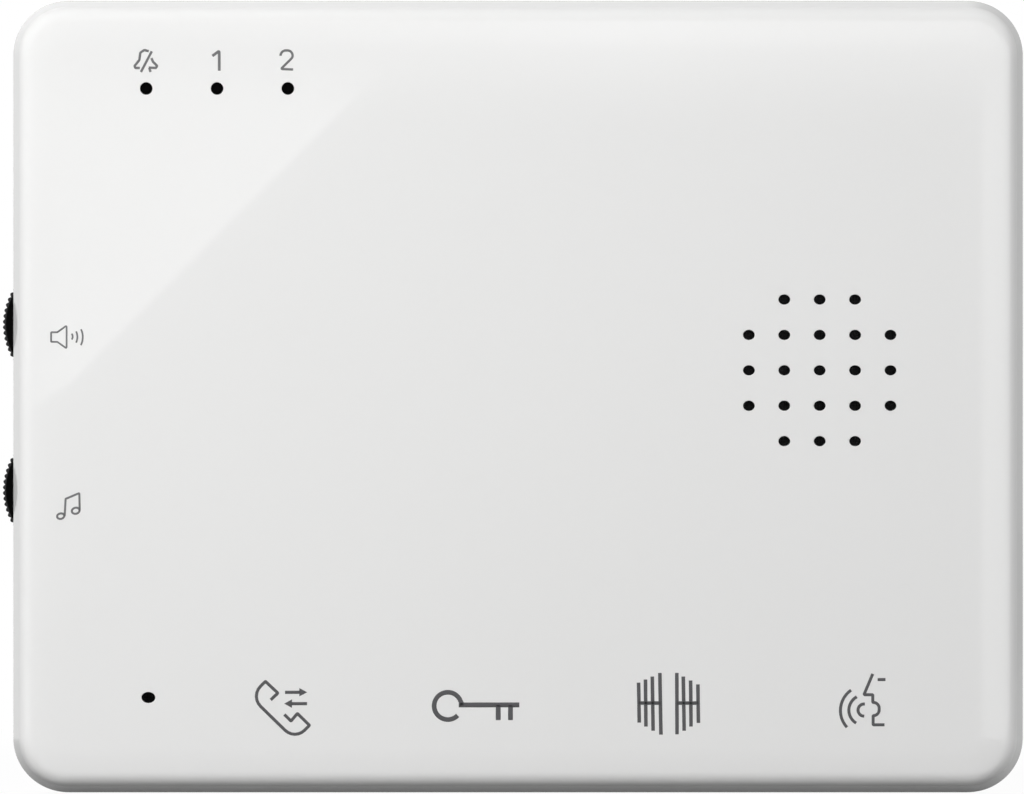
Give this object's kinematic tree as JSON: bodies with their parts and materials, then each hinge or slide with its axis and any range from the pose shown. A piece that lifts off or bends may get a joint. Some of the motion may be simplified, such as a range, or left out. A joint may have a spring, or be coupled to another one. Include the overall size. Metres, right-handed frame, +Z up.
{
  "type": "intercom extension station",
  "caption": "White hands-free wall intercom station with touch keys, loudspeaker grille, microphone, indicators and two side volume wheels, on a steel wall bracket.",
  "frame": {"origin": "centre of the wall-screw pattern on the bracket's rear face, which lies on the wall", "axes": "+X to the right seen from the front, +Z up, +Y into the wall: the front faces -Y"},
  "size_m": [0.1446, 0.021, 0.1124],
  "materials": {
    "case": "polished white moulded plastic",
    "case_back": "fine-textured white moulded plastic",
    "wheel": "black moulded, sharp knurl",
    "bracket": "bright zinc-plated sheet",
    "screw": "zinc-plated",
    "circuit_board": "green solder mask on glass laminate",
    "black_part": "black moulded",
    "light_guide": "smoked clear, polished",
    "lamp": "clear resin",
    "soft_rubber": "soft moulded rubber",
    "foam": "closed-cell foam",
    "cloth": "thin black acoustic cloth",
    "cone_paper": "pressed black paper",
    "magnet": "ground ferrite",
    "plated_sheet": "zinc-plated sheet",
    "capsule": "drawn can",
    "contact": "tin-plated brass",
    "copper": "bare copper",
    "tape": "double-sided tape",
    "terminal_plastic": "green moulded",
    "switch_plastic": "blue moulded",
    "lever_plastic": "white moulded",
    "can": "dark printed sleeve",
    "lead": "insulated lead"
  },
  "bodies": {
    "station": {"front_cover": "case", "rear_shell": "case_back", "wall_bracket": "bracket", "case_screws": "screw", "small_screws": "screw", "main_board": "circuit_board", "touch_board": "circuit_board", "pot_pins": "contact", "light_guide": "light_guide", "indicator_lamps": "lamp", "mic_boot": "soft_rubber", "mic_capsule": "capsule", "mic_pins": "contact", "speaker_gasket": "foam", "speaker_cloth": "cloth", "speaker_basket": "plated_sheet", "speaker_cone": "cone_paper", "speaker_front_plate": "plated_sheet", "speaker_magnet": "magnet", "speaker_yoke": "plated_sheet", "speaker_clamp": "plated_sheet", "speaker_tag": "black_part", "speaker_leads": "lead", "speaker_socket": "lever_plastic", "speaker_plug": "lever_plastic", "touch_tape": "tape", "touch_pads": "copper", "touch_header": "black_part", "touch_socket": "black_part", "filter_capacitors": "can", "choke_core": "magnet", "choke_winding": "copper", "signal_chips": "black_part", "chip_legs": "contact", "terminal_block": "terminal_plastic", "terminal_cages": "contact", "terminal_screws": "screw", "code_switch": "switch_plastic", "jumper_base": "black_part", "jumper_pins": "contact", "jumper_cap": "black_part", "speech_pot_base": "black_part", "speech_pot_cover": "plated_sheet", "ring_pot_base": "black_part", "ring_pot_cover": "plated_sheet"},
    "speech_wheel": {"speech_volume_wheel": "wheel", "speech_pot_rotor": "black_part", "speech_wheel_screw": "screw"},
    "ring_wheel": {"ring_volume_wheel": "wheel", "ring_pot_rotor": "black_part", "ring_wheel_screw": "screw"},
    "code_lever_1": {"code_lever_1": "lever_plastic"},
    "code_lever_2": {"code_lever_2": "lever_plastic"},
    "code_lever_3": {"code_lever_3": "lever_plastic"},
    "code_lever_4": {"code_lever_4": "lever_plastic"},
    "code_lever_5": {"code_lever_5": "lever_plastic"},
    "code_lever_6": {"code_lever_6": "lever_plastic"},
    "code_lever_7": {"code_lever_7": "lever_plastic"},
    "code_lever_8": {"code_lever_8": "lever_plastic"}
  },
  "joints": [
    {"name": "speech_wheel_turn", "type": "hinge", "parent": "station", "child": "speech_wheel", "pos_m": [-0.06345, -0.0137, 0.0102], "axis": [0, 1, 0], "range_deg": [-135, 135]},
    {"name": "ring_wheel_turn", "type": "hinge", "parent": "station", "child": "ring_wheel", "pos_m": [-0.06345, -0.0137, -0.01325], "axis": [0, 1, 0], "range_deg": [-135, 135]},
    {"name": "code_lever_1_slide", "type": "slide", "parent": "station", "child": "code_lever_1", "axis": [0, 0, 1], "range_m": [0, 0.0021]},
    {"name": "code_lever_2_slide", "type": "slide", "parent": "station", "child": "code_lever_2", "axis": [0, 0, 1], "range_m": [0, 0.0021]},
    {"name": "code_lever_3_slide", "type": "slide", "parent": "station", "child": "code_lever_3", "axis": [0, 0, 1], "range_m": [0, 0.0021]},
    {"name": "code_lever_4_slide", "type": "slide", "parent": "station", "child": "code_lever_4", "axis": [0, 0, 1], "range_m": [0, 0.0021]},
    {"name": "code_lever_5_slide", "type": "slide", "parent": "station", "child": "code_lever_5", "axis": [0, 0, 1], "range_m": [0, 0.0021]},
    {"name": "code_lever_6_slide", "type": "slide", "parent": "station", "child": "code_lever_6", "axis": [0, 0, 1], "range_m": [0, 0.0021]},
    {"name": "code_lever_7_slide", "type": "slide", "parent": "station", "child": "code_lever_7", "axis": [0, 0, 1], "range_m": [0, 0.0021]},
    {"name": "code_lever_8_slide", "type": "slide", "parent": "station", "child": "code_lever_8", "axis": [0, 0, 1], "range_m": [0, 0.0021]}
  ]
}
